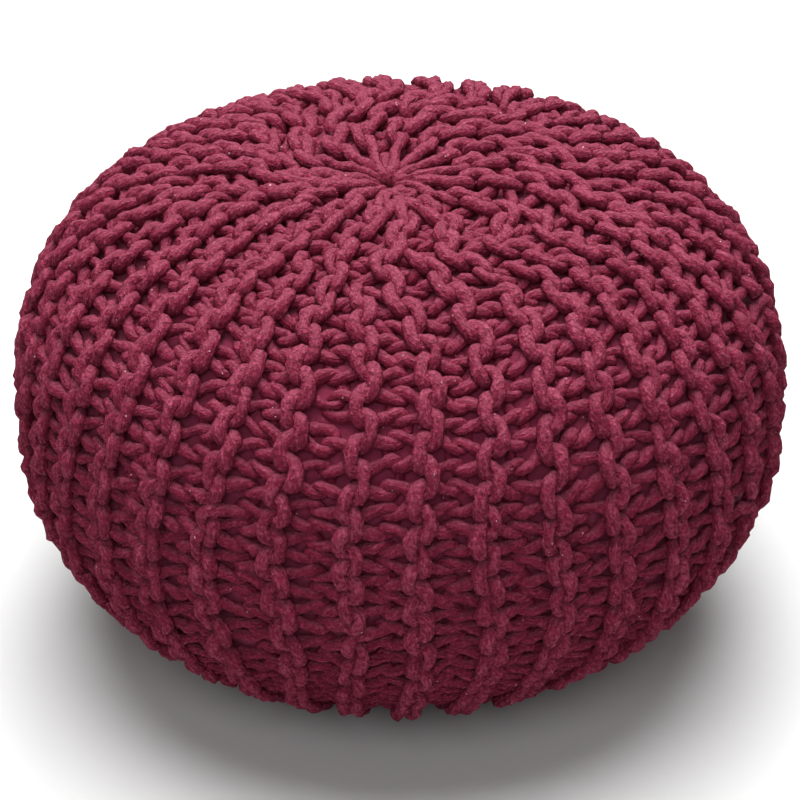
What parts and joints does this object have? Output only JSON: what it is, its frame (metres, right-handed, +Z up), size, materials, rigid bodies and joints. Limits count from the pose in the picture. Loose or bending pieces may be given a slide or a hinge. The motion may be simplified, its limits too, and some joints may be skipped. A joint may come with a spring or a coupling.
{
  "type": "knitted pouf",
  "caption": "Round stuffed floor pouf in a thick hand-knit cover whose ridges gather to a small hole at the crown; it stands on a flat pressed foot.",
  "frame": {"origin": "on the floor under the middle of the pouf's outline", "axes": "+Z up through the crown; -Y towards the viewer in the picture; the lacing seam of the cover is to the front left (-X, -Y)"},
  "size_m": [0.508, 0.508, 0.3434],
  "materials": {
    "knit_cord": "matt soft plied cotton cord, raspberry wine, slightly flecked",
    "casing_cloth": "plain dull plum cloth"
  },
  "bodies": {
    "root": {"knit_cover": "knit_cord", "inner_casing": "casing_cloth"}
  },
  "joints": []
}
